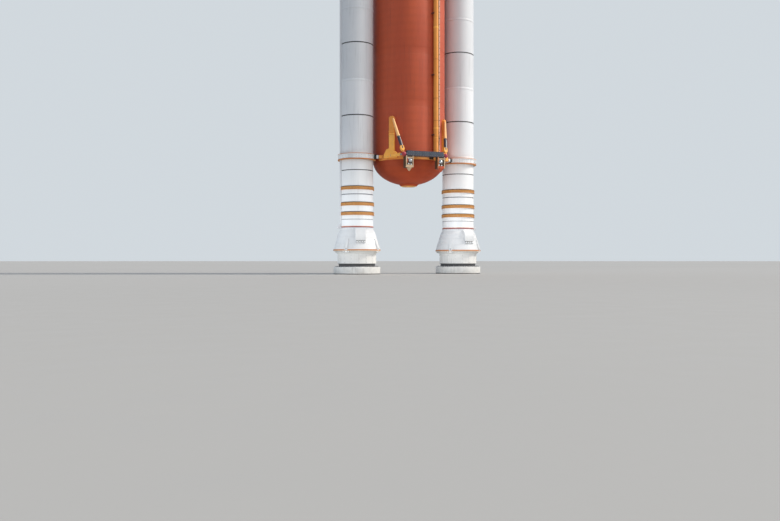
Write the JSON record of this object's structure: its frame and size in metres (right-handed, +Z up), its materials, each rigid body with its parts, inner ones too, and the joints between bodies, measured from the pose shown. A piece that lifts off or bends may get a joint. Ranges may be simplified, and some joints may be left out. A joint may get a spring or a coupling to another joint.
{
  "type": "half-scale space rocket stack on plinths",
  "caption": "Ribbed, foam-covered drop tank hung between two white solid boosters with stiffener rings and gimballed nozzles, each standing on a hollow round plinth.",
  "frame": {"origin": "on the floor, under the middle of the whole outline, which is 277 mm in front of the line of the three axes", "axes": "+Z up, X along the row of boosters with the left one at -X, -Y towards the side that carries the payload's attach hardware"},
  "size_m": [9.064, 4.806, 28.67],
  "materials": {
    "booster_white": "satin white paint, darker at the joints",
    "skirt_white": "satin white paint",
    "plinth_grey": "matt pale grey paint",
    "bearing_rubber": "matt black rubber",
    "nozzle_dark": "matt dark charred finish",
    "tank_foam": "sprayed rust-orange foam, fine grain",
    "strut_yellow": "matt golden yellow",
    "beam_slate": "matt slate grey",
    "umbilical_plate": "satin cream paint",
    "strut_white": "satin white paint with yellow ends",
    "tray_grey": "matt grey paint"
  },
  "bodies": {
    "root": {"left_aft_dome": "booster_white", "left_aft_segment": "booster_white", "left_attach_ring": "booster_white", "left_aft_center_segment": "booster_white", "left_forward_center_segment": "booster_white", "left_forward_segment": "booster_white", "left_forward_skirt": "booster_white", "left_frustum": "booster_white", "left_booster_nose": "booster_white", "left_systems_tunnel": "booster_white", "right_aft_dome": "booster_white", "right_aft_segment": "booster_white", "right_attach_ring": "booster_white", "right_aft_center_segment": "booster_white", "right_forward_center_segment": "booster_white", "right_forward_segment": "booster_white", "right_forward_skirt": "booster_white", "right_frustum": "booster_white", "right_booster_nose": "booster_white", "right_systems_tunnel": "booster_white", "left_aft_skirt": "skirt_white", "right_aft_skirt": "skirt_white", "left_plinth": "plinth_grey", "right_plinth": "plinth_grey", "left_longeron": "strut_yellow", "left_diagonal": "strut_yellow", "left_side_strut": "strut_yellow", "right_longeron": "strut_yellow", "right_diagonal": "strut_yellow", "right_side_strut": "strut_yellow", "left_umbilical": "umbilical_plate", "right_umbilical": "umbilical_plate", "left_front_strut": "strut_white", "left_rear_strut": "strut_white", "left_thrust_fitting": "strut_white", "right_front_strut": "strut_white", "right_rear_strut": "strut_white", "right_thrust_fitting": "strut_white", "hydrogen_tank": "tank_foam", "intertank": "tank_foam", "oxygen_tank": "tank_foam", "tank_nose": "tank_foam", "bipod": "tank_foam", "ring_frame": "strut_yellow", "feedline": "strut_yellow", "pressure_line": "strut_yellow", "crossbeam": "beam_slate", "cable_tray": "tray_grey"},
    "left_gimbal": {"left_flex_bearing": "bearing_rubber"},
    "right_gimbal": {"right_flex_bearing": "bearing_rubber"},
    "left_bell": {"left_nozzle": "nozzle_dark", "left_exit_cone": "nozzle_dark"},
    "right_bell": {"right_nozzle": "nozzle_dark", "right_exit_cone": "nozzle_dark"}
  },
  "joints": [
    {"name": "left_rock", "type": "hinge", "parent": "root", "child": "left_gimbal", "pos_m": [-3.182, 0.277, 2.4], "axis": [1, 0, 0], "range_deg": [-8, 8]},
    {"name": "left_tilt", "type": "hinge", "parent": "left_gimbal", "child": "left_bell", "pos_m": [-3.182, 0.277, 2.4], "axis": [0, 1, 0], "range_deg": [-8, 8]},
    {"name": "right_rock", "type": "hinge", "parent": "root", "child": "right_gimbal", "pos_m": [3.182, 0.277, 2.4], "axis": [1, 0, 0], "range_deg": [-8, 8]},
    {"name": "right_tilt", "type": "hinge", "parent": "right_gimbal", "child": "right_bell", "pos_m": [3.182, 0.277, 2.4], "axis": [0, 1, 0], "range_deg": [-8, 8]}
  ]
}
